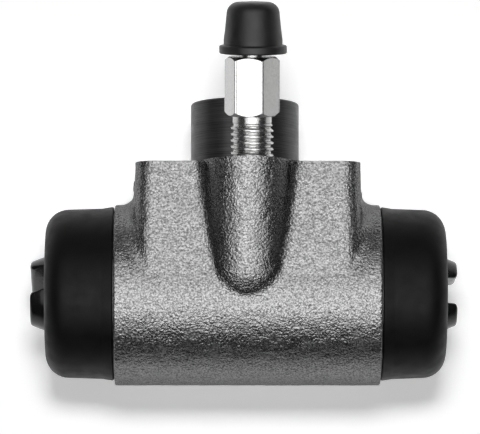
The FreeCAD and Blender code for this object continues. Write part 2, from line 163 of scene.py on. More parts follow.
CAP_CORNER_R = 1.8
CAP_BORE_R = 2.75
CAP_BORE_TOP = 24.5
CAP_LEAN = Vector((0.15, 0, -0.1))  # the rubber cap sits a little to one side of the screw

# Pistons, measured inward from the tip
PISTON_R = 9.49
PISTON_LENGTH = 22.0
PISTON_END_R = 0.5
HEAD_R = 6.05
HEAD_CHAMFER = (2.3, 0.95)  # along the bore, radial
HEAD_ROUNDING = 0.35
PRONG_ROUNDING = 0.9        # between the slot's walls and the tip
PRONG_REACH = 2.0           # that rounding dies out over this length
SLOT_WIDTH = 4.0
SLOT_DEPTH = 5.2
SLOT_FLOOR_R = 0.4
SLOT_REACH = 8.0
SLOT_TURN = {LEFT: math.radians(-23.2), RIGHT: math.radians(-1.2)}
LIP_GROOVE = (6.2, 8.2, 4.7)        # near and far wall, radius of its floor
LIP_GROOVE_EDGE_R = 0.12
SHOULDER_NEAR = 9.4
SHOULDER_CONE = 1.4
SHOULDER_R = 0.3
PISTON_GRID = 0.24

# Return spring
SPRING_R = 4.9
WIRE_R = 0.6
SPRING_TURNS = 7
SPRING_END_RISE = 1.45      # along the bore, in each closed end turn
SPRING_STEPS = 140          # along half the spring
WIRE_STEPS = 16

# Boots, measured outward from the casting's end face
BOOT_GAP = 0.15
BOOT_ROOT_R = 14.15
BOOT_FLARE = (2.0, 13.85, 3.0)      # distance, radius, rounding
BOOT_SHOULDER_R = 13.68
BOOT_END_R = 13.65
BOOT_CORNER_R = 3.9
BOOT_RING_R = 8.2
BOOT_DISH_STEP = 0.5
BOOT_DISH_R = 6.75
BOOT_DISH_BACK_R = 7.8
BOOT_LIP_R = 4.85
BOOT_LIP_GAP = 0.12
BOOT_WALL = 1.3
BOOT_INNER_R = 13.05
BOOT_INNER_CORNER = (9.0, 12.6)
BOOT_SLEEVE = 4.75
BOOT_BEAD = (0.95, 3.05, 12.25)     # near and far side, radius

# Camera and light
SENSOR_WIDTH = 36.0
CAMERA_CLIP = (0.01, 10)            # metres
CAMERA_DISTANCE = 780.0
CAMERA_DIP = math.radians(5.7)      # below the bore's own plane
CAMERA_SWING = math.radians(0.5)
SCALE_AT_BORE = 6.15                # photograph pixels per millimetre
BORE_PIXEL = (247.3, 294.6)         # where the photograph shows the point AIM_DROP below the mounting face
AIM_DROP = 20.1
SOFTBOX_HEIGHT = 740.0              # above the bore
SOFTBOX_ASIDE = math.radians(-4)    # its middle lies towards -Y
SOFTBOX_SPREAD = (39, 38)           # degrees each way from upright, as the bore sees it
SOFTBOX_RADIANCE = 1.6
HOT_TILT = math.radians(-19)        # the softbox's brighter middle lies a little towards -Y
HOT_SPREAD = (18, 15)
HOT_RADIANCE = 1.7
KEY_TILT = math.radians(12.8)       # towards +Y, so that the shadow falls on the barrel's side
KEY_DISTANCE = 550.0
KEY_SIZE = (140.0, 100.0)
KEY_BEAM = math.radians(50)         # full angle of the beam: the floor is brightest round the part
KEY_SHARE = 0.82                    # of the light that a white floor would need
WORLD_DIM = 0.05
WORLD_BRIGHT = 0.18                 # the part of the room beyond the mounting face
WORLD_BLEND = (0.3, 0.7)            # between these shares of the way across
FLOOR_HALF = 4000.0
FLOOR_TONE = 0.82
FLOOR_LIFT = 0.48
FLOOR_FADE = (-260.0, -50.0)        # between these Y the floor darkens in reflections

AXIS_UP = Vector((0, math.cos(BLEED_TILT), math.sin(BLEED_TILT)))
AXIS_FRONT = Vector((0, -math.sin(BLEED_TILT), math.cos(BLEED_TILT)))


def softened(corners, steps=6):
    """Outline points from corners (along, radius, rounding), where a rounded corner becomes an arc."""
    points = []
    for k, (along, radius, rounding) in enumerate(corners):
        here = Vector((along, radius))
        if rounding == 0:
            points.append(here)
            continue
        back = (Vector(corners[k - 1][:2]) - here).normalized()
        ahead = (Vector(corners[(k + 1) % len(corners)][:2]) - here).normalized()
        half = back.angle(ahead) / 2
        centre = here + (back + ahead).normalized() * rounding / math.sin(half)
        start = here + back * rounding / math.tan(half) - centre
        end = here + ahead * rounding / math.tan(half) - centre
        first = math.atan2(start.y, start.x)
        sweep = math.remainder(math.atan2(end.y, end.x) - first, math.tau)
        for i in range(steps + 1):
            angle = first + sweep * i / steps
            points.append(centre + Vector((math.cos(angle), math.sin(angle))) * rounding)
    return points


def mesh_object(name, points, faces):
    mesh = bpy.data.meshes.new(name)
    mesh.from_pydata([tuple(p) for p in np.asarray(points, float) * MM], [], faces)
    mesh.validate()
    made = bpy.data.objects.new(name, mesh)
    bpy.context.scene.collection.objects.link(made)
    tidy = bmesh.new()
    tidy.from_mesh(mesh)
    bmesh.ops.remove_doubles(tidy, verts=tidy.verts, dist=WELD)
    bmesh.ops.recalc_face_normals(tidy, faces=tidy.faces)
    tidy.to_mesh(mesh)
    tidy.free()
    return made


def side_vectors(axis):
    """Two directions square to an axis that isn't upright, and to each other."""
    first = (Vector((0, 0, 1)) - axis * axis.z).normalized()
    return first, axis.cross(first)


def ring_faces(rows, count, closed=False):
    """Quads between neighbouring rings of so many points."""
    faces = []
    for i in range(rows if closed else rows - 1):
        k = (i + 1) % rows
        for j in range(count):
            n = (j + 1) % count
            faces.append((i * count + j, i * count + n, k * count + n, k * count + j))
    return faces


def lathe(name, outline, base, axis, steps=128, closed=False):
    """Revolve points (along, radius). An open outline starts and ends on the axis."""
    first, second = side_vectors(axis)
    angles = [math.tau * j / steps for j in range(steps)]
    points = []
    for along, radius in outline:
        centre = base + axis * along
        points += [centre + first * (radius * math.cos(t)) + second * (radius * math.sin(t)) for t in angles]
    return mesh_object(name, points, ring_faces(len(outline), steps, closed))


def block(name, low, high):
    points = [(x, y, z) for x in (low[0], high[0]) for y in (low[1], high[1]) for z in (low[2], high[2])]
    faces = [(0, 1, 3, 2), (4, 6, 7, 5), (0, 4, 5, 1), (2, 3, 7, 6), (0, 2, 6, 4), (1, 5, 7, 3)]
    return mesh_object(name, points, faces)


def joined(name, parts):
    """One object from several, without welding them."""
    combined = bmesh.new()
    for part in parts:
        combined.from_mesh(part.data)
        bpy.data.objects.remove(part)
    mesh = bpy.data.meshes.new(name)
    combined.to_mesh(mesh)
    combined.free()
    made = bpy.data.objects.new(name, mesh)
    bpy.context.scene.collection.objects.link(made)
    return made


def settled(obj):
    """Replace an object's mesh by what its modifiers make of it."""
    shown = obj.evaluated_get(bpy.context.evaluated_depsgraph_get())
    mesh = bpy.data.meshes.new_from_object(shown)
    mesh.materials.clear()
    obj.modifiers.clear()
    obj.data = mesh
    return obj


def regrid(obj, size):
    remesh = obj.modifiers.new("grid", "REMESH")
    remesh.mode = "VOXEL"
    remesh.voxel_size = size * MM
    return settled(obj)


def carve(obj, operation, tool):
    cut = obj.modifiers.new("cut", "BOOLEAN")
    cut.operation = operation
    cut.solver = "MANIFOLD"
    cut.object = tool
    settled(obj)
    bpy.data.objects.remove(tool)
    return obj


def coordinates(mesh):
    flat = np.empty(len(mesh.vertices) * 3)
    mesh.vertices.foreach_get("co", flat)
    return flat.reshape(-1, 3) / MM


def move_points(mesh, points):
    mesh.vertices.foreach_set("co", (points * MM).ravel())
    mesh.update()


def slope(distance, points, step=0.01):
    """Gradient of a distance function at each point."""
    columns = []
    for k in range(3):
        shift = np.zeros(3)
        shift[k] = step
        columns.append((distance(points + shift) - distance(points - shift)) / (2 * step))
    return np.stack(columns, axis=1)


def pull_to(points, distance, free, rounds=5):
    """Move the free points onto the surface where the distance is nought."""
    for _ in range(rounds):
        here = points[free]
        way = slope(distance, here)
        size = np.maximum(np.sum(way * way, axis=1), SLOPE_LEAST)
        points[free] = here - way * (distance(here) / size)[:, None]
    return points


def fillet_union(a, b, cosine, radius):
    """Joined distances with a rolling-ball fillet, where the surfaces' normals meet at the given cosine."""
    square = np.maximum(1 - cosine**2, SQUARE_LEAST)
    u = radius - a
    v = radius - b
    between = (u > cosine * v) & (v > cosine * u) & (cosine**2 < 1 - SQUARE_LEAST)
    reach = np.sqrt(np.maximum(u * u + v * v - 2 * cosine * u * v, 0) / square)
    return np.where(between, radius - reach, np.minimum(a, b))


def round_common(a, b, radius):
    """The common part of two distances with a rounded edge."""
    u = np.maximum(radius + a, 0)
    v = np.maximum(radius + b, 0)
    return np.minimum(-radius, np.maximum(a, b)) + np.hypot(u, v)


def barrel_distance(p):
    return np.hypot(p[:, 1] + BARREL_DROP, p[:, 2]) - BARREL_R


def block_distance(p):
    lean = math.tan(math.radians(BLOCK_DRAFT))
    side = (np.abs(p[:, 0] - CAST_X) - BLOCK_HALF + p[:, 1] * lean) / math.hypot(1, lean)
    front = np.abs(p[:, 2]) - BLOCK_DEPTH
    return np.maximum(round_common(side, front, BLOCK_CORNER_R), -p[:, 1] - BARREL_DROP)


def boss_distance(p):
    foot = np.array(BOSS_BASE - AXIS_UP * BOSS_LENGTH)
    way = np.array(AXIS_UP)
    along = np.maximum((p - foot) @ way, 0)
    return np.linalg.norm(p - foot - along[:, None] * way, axis=1) - BOSS_R


def cosine_of(first, second):
    return np.sum(first * second, axis=1)


def body_distance(p):
    """Barrel and block. Their fillet dies out where the block's corners sink into the barrel's side."""
    cosine = cosine_of(slope(barrel_distance, p), slope(block_distance, p))
    fade = np.clip((p[:, 1] + BARREL_DROP) / ROOT_FADE, ROOT_LEAST, 1)
    return fillet_union(barrel_distance(p), block_distance(p), cosine, BLOCK_ROOT_R * fade)


def cast_distance(p):
    """The whole casting before it is machined."""
    on_block = (barrel_distance(p) > block_distance(p))[:, None]
    carrier = np.where(on_block, slope(block_distance, p), slope(barrel_distance, p))
    cosine = cosine_of(carrier, slope(boss_distance, p))
    return fillet_union(body_distance(p), boss_distance(p), cosine, BOSS_ROOT_R)


def cast_skin(points):
    """Height of the cast skin on the true surface: orange peel, and flash on the block's sides."""
    peel = np.empty(len(points))
    ragged = np.empty(len(points))
    for k, point in enumerate(points):
        place = Vector(point) / PEEL_WAVE
        large = noise.noise(place)
        small = noise.noise(place * PEEL_FINER + PEEL_APART)
        peel[k] = PEEL_SHARES[0] * large + PEEL_SHARES[1] * small - PEEL_SUNK
        ragged[k] = noise.noise(Vector(point) / FLASH_WAVE)
    x, y, z = points[:, 0] - CAST_X, points[:, 1], points[:, 2]
    ridge = np.exp(-((z - FLASH_WANDER * ragged) / FLASH_WIDTH) ** 2)
    ridge *= np.clip((FLASH_TOP - y) / FLASH_TOP_FADE, 0, 1)
    ridge *= np.clip((np.abs(x) - BLOCK_HALF + BLOCK_ROOT_R) / FLASH_SIDE_FADE, 0, 1)
    ridge *= np.clip((y + BARREL_DROP - BARREL_R) / FLASH_FOOT_FADE, 0, 1)
    flash = FLASH_HEIGHT * ridge * (FLASH_MEAN + FLASH_RAGGED * ragged)
    return np.clip(peel, PEEL_DEEPEST, 0) * PEEL_HEIGHT + flash


def cast_boss():
    """Tilted round boss with a domed lower end."""
    quarter = np.linspace(0, math.pi / 2, BOSS_DOME_STEPS)
    outline = [(-BOSS_R * math.cos(t), BOSS_R * math.sin(t)) for t in quarter]
    top = BOSS_LENGTH + 2 * STOCK
    outline += [(top, BOSS_R), (top, 0)]
    return lathe("boss", outline, BOSS_BASE - AXIS_UP * BOSS_LENGTH, AXIS_UP)


def rough_casting():
    """Barrel, block and boss as one surface with cast fillets, before it is machined."""
    half = BARREL_HALF + STOCK
    middle = Vector((CAST_X, -BARREL_DROP, 0))
    outline = [(-half, 0), (-half, BARREL_R), (half, BARREL_R), (half, 0)]
    barrel = lathe("barrel", outline, middle, Vector((1, 0, 0)))
    low = (CAST_X - BLOCK_HALF, -BARREL_DROP, -BLOCK_DEPTH)
    high = (CAST_X + BLOCK_HALF, STOCK, BLOCK_DEPTH)
    cast = joined("casting", [barrel, block("block", low, high), cast_boss()])
    regrid(cast, CAST_GRID)
    points = coordinates(cast.data)
    free = (np.abs(points[:, 0] - CAST_X) < half - OVERSHOOT) & (points[:, 1] < STOCK - STOCK_TOP)
    points = pull_to(points, cast_distance, free)
    way = slope(cast_distance, points[free])
    points[free] += way * cast_skin(points[free])[:, None]
    move_points(cast.data, points)
    return cast


def end_ring(side):
    """What the chamfer takes off the barrel's end edge."""
    over = 0.4
    outline = [
        (-over, BARREL_R - BARREL_EDGE - over), (-over, BARREL_R + 2 * over),
        (BARREL_EDGE + over, BARREL_R + 2 * over), (BARREL_EDGE + over, BARREL_R + over),
    ]
    place = Vector((CAST_X + side * BARREL_HALF, -BARREL_DROP, 0))
    return lathe("end_ring", outline, place, Vector((-side, 0, 0)), closed=True)


def end_face(side):
    """Where the bore's axis meets the casting's end face."""
    return Vector((CAST_X + side * BARREL_HALF, -BORE_DROP, 0))


def neck(side):
    """Turned ring beyond the end face, grooved for the boot's bead."""
    near, far, groove_r = BEAD_GROOVE
    inner_r = BORE_R - OVERSHOOT
    corners = [
        (-OVERSHOOT, inner_r, 0), (-OVERSHOOT, NECK_R, 0), (near, NECK_R, NECK_EDGE_R),
        (near, groove_r, NECK_EDGE_R), (far, groove_r, NECK_EDGE_R), (far, NECK_R, NECK_EDGE_R),
        (NECK_LENGTH, NECK_R, NECK_END_R), (NECK_LENGTH, inner_r, 0),
    ]
    return lathe("neck", softened(corners), end_face(side), Vector((side, 0, 0)), closed=True)


def spigot():
    corners = [
        (-OVERSHOOT, 0, 0), (-OVERSHOOT, SPIGOT_R, 0), (SPIGOT_HEIGHT, SPIGOT_R, SPIGOT_EDGE_R),
        (SPIGOT_HEIGHT, 0, 0),
    ]
    return lathe("spigot", softened(corners), Vector((0, 0, 0)), Vector((0, 1, 0)))


def main_bore():
    """The bore right through, with a lead-in chamfer at each end."""
    half = BARREL_HALF + NECK_LENGTH
    mouth_r = BORE_R + BORE_LEAD + OVERSHOOT
    outline = [
        (-half - OVERSHOOT, 0), (-half - OVERSHOOT, mouth_r), (-half + BORE_LEAD, BORE_R),
        (half - BORE_LEAD, BORE_R), (half + OVERSHOOT, mouth_r), (half + OVERSHOOT, 0),
    ]
    return lathe("bore", outline, Vector((CAST_X, -BORE_DROP, 0)), Vector((1, 0, 0)))


def pipe_port():
    """Tapped hole down the spigot, its cone seat and the passage to the bore."""
    through = SPIGOT_HEIGHT + BORE_DROP - BORE_R + OVERSHOOT
    outline = [
        (-OVERSHOOT, 0), (-OVERSHOOT, PORT_R + HOLE_EDGE + OVERSHOOT), (HOLE_EDGE, PORT_R),
        (PORT_DEPTH, PORT_R), (PORT_DEPTH + PORT_SEAT_DEPTH, FEED_R), (through, FEED_R), (through, 0),
    ]
    return lathe("port", outline, Vector((0, SPIGOT_HEIGHT, 0)), Vector((0, -1, 0)))


def bleeder_hole():
    """Tapped hole, cone seat and passage down the bleeder's axis."""
    mouth_r = BLEED_HOLE_R + HOLE_EDGE
    outline = [
        (-OVERSHOOT, 0), (-OVERSHOOT, mouth_r), (BLEED_COUNTERBORE_DEPTH, mouth_r),
        (BLEED_COUNTERBORE_DEPTH + HOLE_EDGE, BLEED_HOLE_R), (BLEED_HOLE_DEPTH, BLEED_HOLE_R),
        (BLEED_SEAT_DEPTH, FEED_R), (BLEED_PASSAGE_DEPTH, FEED_R), (BLEED_PASSAGE_DEPTH, 0),
    ]
    return lathe("bleed", outline, BLEED_BASE, -AXIS_UP)


def fixing_hole(x):
    outline = [
        (-HOLE_EDGE, 0), (-HOLE_EDGE, FIXING_HOLE_R + 2 * HOLE_EDGE), (HOLE_EDGE, FIXING_HOLE_R),
        (FIXING_HOLE_DEPTH, FIXING_HOLE_R), (FIXING_HOLE_DEPTH + DRILL_POINT_DEPTH, 0),
    ]
    return lathe("hole", outline, Vector((x, 0, FIXING_HOLE_Z)), Vector((0, -1, 0)))


def body_mesh():
    """The casting with everything that is machined on it."""
    body = rough_casting()
    far = 2 * BARREL_HALF
    low = (CAST_X - BARREL_HALF, -far, -BLOCK_DEPTH)
    carve(body, "INTERSECT", block("faces", low, (CAST_X + BARREL_HALF, 0, far)))
    for side in SIDES.values():
        carve(body, "DIFFERENCE", end_ring(side))
        carve(body, "UNION", neck(side))
    carve(body, "UNION", spigot())
    for hole in (main_bore, pipe_port, bleeder_hole):
        carve(body, "DIFFERENCE", hole())
    for x in (-FIXING_HOLE_X, FIXING_HOLE_X):
        carve(body, "DIFFERENCE", fixing_hole(x))
    return body


def tilted_rings(name, table):
    """Rings about the bleeder's axis, drawn as (height, towards -X, towards the front)."""
    points = [
        BLEED_BASE + AXIS_UP * h - Vector((1, 0, 0)) * u + AXIS_FRONT * v
        for ring in table for h, u, v in ring
    ]
    return mesh_object(name, points, ring_faces(len(table), len(table[0])))


def ring(angles, heights, radii):
    """A ring of points whose height and radius may vary round it."""
    return [(h, r * math.cos(t), r * math.sin(t)) for t, h, r in zip(angles, heights, radii)]


def level_ring(angles, height, radius):
    return ring(angles, [height] * len(angles), [radius] * len(angles))


def thread_radius(height, angle):
    """Radius of a right-hand thread with flat crests, running out at both ends."""
    phase = (height / THREAD_PITCH + angle / math.tau) % 1
    ridge = min(max((THREAD_FOOT - abs(phase - 0.5)) / THREAD_FLANK, 0), 1)
    fade = min(1, max(0, (THREAD_TOP - height) / THREAD_RUN_OUT))
    fade *= min(1, max(0, (height - THREAD_BOTTOM) / THREAD_RUN_OUT))
    return THREAD_R - THREAD_DEPTH * (1 - ridge * fade)


def shank_mesh(steps=96):
    """Cone nose, thread and neck."""
    angles = [math.tau * j / steps for j in range(steps)]
    table = [level_ring(angles, height, radius) for height, radius in NOSE]
    heights = list(np.arange(THREAD_BOTTOM, THREAD_TOP, THREAD_PITCH / THREAD_ROWS)) + [THREAD_TOP]
    for height in heights:
        table.append(ring(angles, [height] * steps, [thread_radius(height, t) for t in angles]))
    table.append(level_ring(angles, THREAD_TOP + SCREW_NECK_STEP, SCREW_NECK_R))
    table.append(level_ring(angles, HEX_BOTTOM + OVERSHOOT, SCREW_NECK_R))
    table.append(level_ring(angles, HEX_BOTTOM + OVERSHOOT, 0))
    return tilted_rings("shank", table)


def hexagon_radius(angle):
    """Radius of a hexagon with rounded edges."""
    flat = HEX_FLATS / 2
    inner = flat - HEX_EDGE_R
    turn = (angle - HEX_TURN) % (math.pi / 3)
    off = math.pi / 6 - turn
    straight = flat / math.cos(off)
    corner = inner / math.cos(math.pi / 6)
    away = math.pi / 6 - abs(off)
    rounded = corner * math.cos(away) + math.sqrt(max(HEX_EDGE_R**2 - (corner * math.sin(away))**2, 0))
    return min(straight, rounded) if corner * math.sin(away) < HEX_EDGE_R else straight


def hexagon_top(radius):
    return HEX_TOP - max(radius - HEX_END_R, 0) * math.tan(HEX_TOP_CHAMFER)


def hexagon_bottom(radius):
    return HEX_BOTTOM + max(radius - HEX_END_R, 0) * math.tan(HEX_BOTTOM_CHAMFER)


def hexagon_mesh():
    """Hexagon with rounded edges, chamfered by a cone at both ends."""
    angles = [HEX_TURN + math.radians(60 * k + step) for k in range(6) for step in HEX_STEPS]
    outer = [hexagon_radius(t) for t in angles]
    inset = HEX_END_R - HEX_END_INSET
    table = [level_ring(angles, HEX_BOTTOM, 0), level_ring(angles, HEX_BOTTOM, inset)]
    for share in HEX_CHAMFER_STEPS:
        radii = [HEX_END_R + (r - HEX_END_R) * share for r in outer]
        table.append(ring(angles, [hexagon_bottom(r) for r in radii], radii))
    for share in HEX_SIDE_STEPS:
        heights = [hexagon_bottom(r) + (hexagon_top(r) - hexagon_bottom(r)) * share for r in outer]
        table.append(ring(angles, heights, outer))
    for share in reversed(HEX_CHAMFER_STEPS):
        radii = [HEX_END_R + (r - HEX_END_R) * share for r in outer]
        table.append(ring(angles, [hexagon_top(r) for r in radii], radii))
    table += [level_ring(angles, HEX_TOP, inset), level_ring(angles, HEX_TOP, 0)]
    return tilted_rings("hexagon", table)


def screw_mesh():
    foot, edge, land_end = NIPPLE_BARB
    corners = [
        (HEX_TOP - OVERSHOOT, 0, 0), (HEX_TOP - OVERSHOOT, NIPPLE_R, 0), (foot, NIPPLE_R, 0.1),
        (edge, NIPPLE_BARB_R, 0.1), (land_end, NIPPLE_BARB_R, 0.15), (NIPPLE_TOP, NIPPLE_TOP_R, 0.15),
        (NIPPLE_TOP, SCREW_BORE_R, 0), (HEX_TOP, SCREW_BORE_R, 0), (HEX_TOP, 0, 0),
    ]
    nipple = lathe("nipple", softened(corners), BLEED_BASE, AXIS_UP, 64)
    return joined("bleeder_screw_visual", [shank_mesh(), hexagon_mesh(), nipple])


def cap_mesh():
    """Flange, wall that narrows upward, rounded top, and a blind bore over the nipple."""
    corners = [
        (CAP_BOTTOM, CAP_BORE_R, 0.15), (CAP_BOTTOM, CAP_FLANGE_R, 0.25),
        (CAP_FLANGE_TOP, CAP_FLANGE_R, 0.3), (CAP_FLANGE_TOP, CAP_FOOT_R, 0.12),
        (CAP_FLANGE_TOP + CAP_FOOT_STEP, CAP_FOOT_R, 0.05), *CAP_WALL,
        (CAP_TOP, CAP_TOP_R, CAP_CORNER_R), (CAP_TOP, 0, 0), (CAP_BORE_TOP, 0, 0),
        (CAP_BORE_TOP, CAP_BORE_R, 0.3),
    ]
    return lathe("bleeder_cap_visual", softened(corners, 8), BLEED_BASE + CAP_LEAN, AXIS_UP, closed=True)


def outer_end(node, side):
    """X of the point of a node that lies farthest out on its side."""
    low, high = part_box(node)
    return (high.x if side == RIGHT else low.x) / MM


def piston_distance(p, side, tip):
    """Distance to the piston, with t measured inward from the tip and w across the slot."""
    t = (tip - p[:, 0]) * side
    y = p[:, 1] + BORE_DROP
    rho = np.hypot(y, p[:, 2])
    w = y * math.cos(SLOT_TURN[side]) + p[:, 2] * math.sin(SLOT_TURN[side])
    axial, radial = HEAD_CHAMFER
    chamfer = (-radial * t + axial * (rho - HEAD_R + radial)) / math.hypot(axial, radial)
    head = round_common(round_common(rho - HEAD_R, chamfer, HEAD_ROUNDING), -t, HEAD_ROUNDING)
    near, far, groove_r = LIP_GROOVE
    groove = np.maximum(np.abs(t - (near + far) / 2) - (far - near) / 2, groove_r - rho)
    rise = PISTON_R - HEAD_R
    cone = (-rise * (t - SHOULDER_NEAR) + SHOULDER_CONE * (rho - HEAD_R)) / math.hypot(rise, SHOULDER_CONE)
    trunk = round_common(round_common(rho - PISTON_R, cone, SHOULDER_R), t - PISTON_LENGTH, PISTON_END_R)
    whole = np.minimum(np.maximum(head, t - SHOULDER_NEAR - 2 * OVERSHOOT), trunk)
    whole = round_common(whole, -groove, LIP_GROOVE_EDGE_R)
    slot = round_common(np.abs(w) - SLOT_WIDTH / 2, t - SLOT_DEPTH, SLOT_FLOOR_R)
    near_tip = np.clip(1 - t / PRONG_REACH, 0, 1)
    rounding = HEAD_ROUNDING + (PRONG_ROUNDING - HEAD_ROUNDING) * near_tip
    return round_common(whole, -slot, rounding)


def piston_mesh(side, word):
    """Piston with a slotted head, meshed roughly and then pulled onto its rounded form."""
    tip = outer_end(f"piston_{word}", side)
    axial, radial = HEAD_CHAMFER
    near, far, groove_r = LIP_GROOVE
    outline = [
        (0, 0), (0, HEAD_R - radial), (axial, HEAD_R), (near, HEAD_R), (near, groove_r), (far, groove_r),
        (far, HEAD_R), (SHOULDER_NEAR, HEAD_R), (SHOULDER_NEAR + SHOULDER_CONE, PISTON_R),
        (PISTON_LENGTH, PISTON_R), (PISTON_LENGTH, 0),
    ]
    place = Vector((tip, -BORE_DROP, 0))
    inward = Vector((-side, 0, 0))
    made = lathe(f"piston_{word}_visual", outline, place, inward)
    low = (-SLOT_REACH, -SLOT_WIDTH / 2, -OVERSHOOT)
    slot = block("slot", low, (SLOT_REACH, SLOT_WIDTH / 2, SLOT_DEPTH))
    across = Vector((0, math.cos(SLOT_TURN[side]), math.sin(SLOT_TURN[side])))
    turned = Matrix((across.cross(inward), across, inward)).transposed().to_4x4()
    slot.data.transform(Matrix.Translation(place * MM) @ turned)
    carve(made, "DIFFERENCE", slot)
    regrid(made, PISTON_GRID)
    points = coordinates(made.data)
    free = np.ones(len(points), bool)
    move_points(made.data, pull_to(points, lambda p: piston_distance(p, side, tip), free, 6))
    return made


def boot_mesh(side, word):
    """Boot with a bead in the neck's groove, a flared sleeve, a big corner, a dished end and a lip."""
    reach = side * (outer_end(f"boot_{word}", side) - CAST_X) - BARREL_HALF
    tip = side * (outer_end(f"piston_{word}", side) - CAST_X) - BARREL_HALF
    lip_out = tip - LIP_GROOVE[0] - BOOT_LIP_GAP
    lip_in = tip - LIP_GROOVE[1] + BOOT_LIP_GAP
    ring_back_r, corner_back_r = BOOT_INNER_CORNER
    bead_near, bead_far, bead_r = BOOT_BEAD
    corners = [
        (BOOT_GAP, BOOT_INNER_R, 0.1), (BOOT_GAP, BOOT_ROOT_R, 0.28), BOOT_FLARE,
        (reach - BOOT_CORNER_R, BOOT_SHOULDER_R, 0), (reach, BOOT_END_R, BOOT_CORNER_R - 0.1),
        (reach, BOOT_RING_R, 0.55), (lip_out + BOOT_DISH_STEP, BOOT_DISH_R, 0.6),
        (lip_out, BOOT_LIP_R, 0.3), (lip_in, BOOT_LIP_R, 0.3), (lip_in, BOOT_DISH_BACK_R, 0.8),
        (reach - BOOT_WALL, ring_back_r, 0.6), (reach - BOOT_WALL, corner_back_r, 2.4),
        (BOOT_SLEEVE, BOOT_INNER_R, 0.2), (bead_far, BOOT_INNER_R, 0), (bead_far, bead_r, 0.15),
        (bead_near, bead_r, 0.15), (bead_near, BOOT_INNER_R, 0),
    ]
    outline = softened(corners, 10)
    return lathe(f"boot_{word}_visual", outline, end_face(side), Vector((side, 0, 0)), 160, closed=True)


def spring_mesh(side, word):
    """Half of the return spring, from its middle to the spreader. Its end turn is wound close."""
    low, high = (corner.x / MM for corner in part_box("return_spring"))
    middle = (low + high) / 2
    reach = (high - low) / 2 - WIRE_R
    open_turns = SPRING_TURNS / 2 - 1
    rise = (reach - SPRING_END_RISE) / open_turns
    points = []
    for turn in np.linspace(0, open_turns + 1, SPRING_STEPS + 1):
        along = min(turn, open_turns) * rise + max(turn - open_turns, 0) * SPRING_END_RISE
        angle = math.tau * turn
        outward = Vector((0, math.cos(angle), side * math.sin(angle)))
        centre = Vector((middle + side * along, -BORE_DROP, 0)) + outward * SPRING_R
        for part in np.linspace(0, math.tau, WIRE_STEPS, endpoint=False):
            points.append(centre + (outward * math.cos(part) + Vector((1, 0, 0)) * math.sin(part)) * WIRE_R)
    last = SPRING_STEPS * WIRE_STEPS
    ends = [tuple(range(WIRE_STEPS)), tuple(range(last, last + WIRE_STEPS))]
    return mesh_object(f"return_spring_{word}_half", points, ends + ring_faces(SPRING_STEPS + 1, WIRE_STEPS))


def add_node(tree, kind, inputs=None, **settings):
    """New shader node. An input is a value or the socket that feeds it."""
    node = tree.nodes.new(kind)
    for key, value in settings.items():
        setattr(node, key, value)
    for key, value in (inputs or {}).items():
        if isinstance(value, bpy.types.NodeSocket):
            tree.links.new(value, node.inputs[key])
        else:
            node.inputs[key].default_value = value
    return node


class Finish:
    """A node material on the Principled shader, with the piece's own coordinates in millimetres."""

    def __init__(self, name, **sockets):
        self.material = bpy.data.materials.new(name)
        self.material.use_nodes = True
        self.tree = self.material.node_tree
        self.surface = self.tree.nodes["Principled BSDF"]
        for socket, value in sockets.items():
            self.surface.inputs[socket.replace("_", " ")].default_value = value
        where = self.tree.nodes.new("ShaderNodeTexCoord")
        inputs = {"Vector": where.outputs["Object"], "Scale": 1 / MM}
        self.place = self.add("ShaderNodeVectorMath", inputs, operation="SCALE")

    def add(self, kind, inputs, **settings):
        return add_node(self.tree, kind, inputs, **settings).outputs[0]

    def grain(self, scale, detail=2.0, stretch=(1, 1, 1)):
        """Noise from 0 to 1 with so many waves a millimetre."""
        mapped = self.add("ShaderNodeMapping", {"Vector": self.place, "Scale": stretch})
        return self.add("ShaderNodeTexNoise", {"Vector": mapped, "Scale": scale, "Detail": detail})

    def spread(self, value, low, high, start=0.3, end=0.7):
        """Map a grain's middle range onto low to high."""
        inputs = {"Value": value, "From Min": start, "From Max": end, "To Min": low, "To Max": high}
        return self.add("ShaderNodeMapRange", inputs)

    def shade(self, value, dark, light):
        """Base colour between two tones, as the value goes from 0 to 1."""
        ramp = add_node(self.tree, "ShaderNodeValToRGB", {"Fac": value})
        ramp.color_ramp.elements[0].color = (*dark, 1)
        ramp.color_ramp.elements[1].color = (*light, 1)
        self.tree.links.new(ramp.outputs["Color"], self.surface.inputs["Base Color"])

    def relief(self, *layers):
        """Bumps stacked from pairs of a height and its depth in millimetres."""
        normal = None
        for height, depth in layers:
            inputs = {"Height": height, "Distance": depth * MM}
            if normal is not None:
                inputs["Normal"] = normal
            normal = self.add("ShaderNodeBump", inputs)
        self.tree.links.new(normal, self.surface.inputs["Normal"])

    def gloss(self, value):
        self.tree.links.new(value, self.surface.inputs["Roughness"])


def cast_iron():
    made = Finish("cast_iron_raw", Metallic=1.0, Specular_Tint=(0.35, 0.35, 0.35, 1))
    peel = made.grain(2.7, 2.5)
    grit = made.grain(5.2, 2.5)
    cloud = made.grain(0.35, 3.0)
    grain = made.spread(made.grain(3.6, 3.0), 0, 1, 0.36, 0.58)
    made.shade(grain, (0.115, 0.115, 0.117), (0.315,) * 3)
    made.gloss(made.spread(cloud, 0.2, 0.29))
    made.relief((peel, 0.15), (grit, 0.03))
    return made.material


def turned_iron(name, stretch, dark, light):
    """Machined iron with tool lines along one direction."""
    made = Finish(name, Metallic=0.9)
    lines = made.grain(9.0, 3.0, stretch)
    smear = made.grain(7.0, 3.0, stretch)
    made.shade(made.spread(smear, 0, 1), (dark,) * 3, (light,) * 3)
    made.gloss(made.spread(made.grain(0.8, 2.0), 0.34, 0.46))
    made.relief((lines, 0.014))
    return made.material


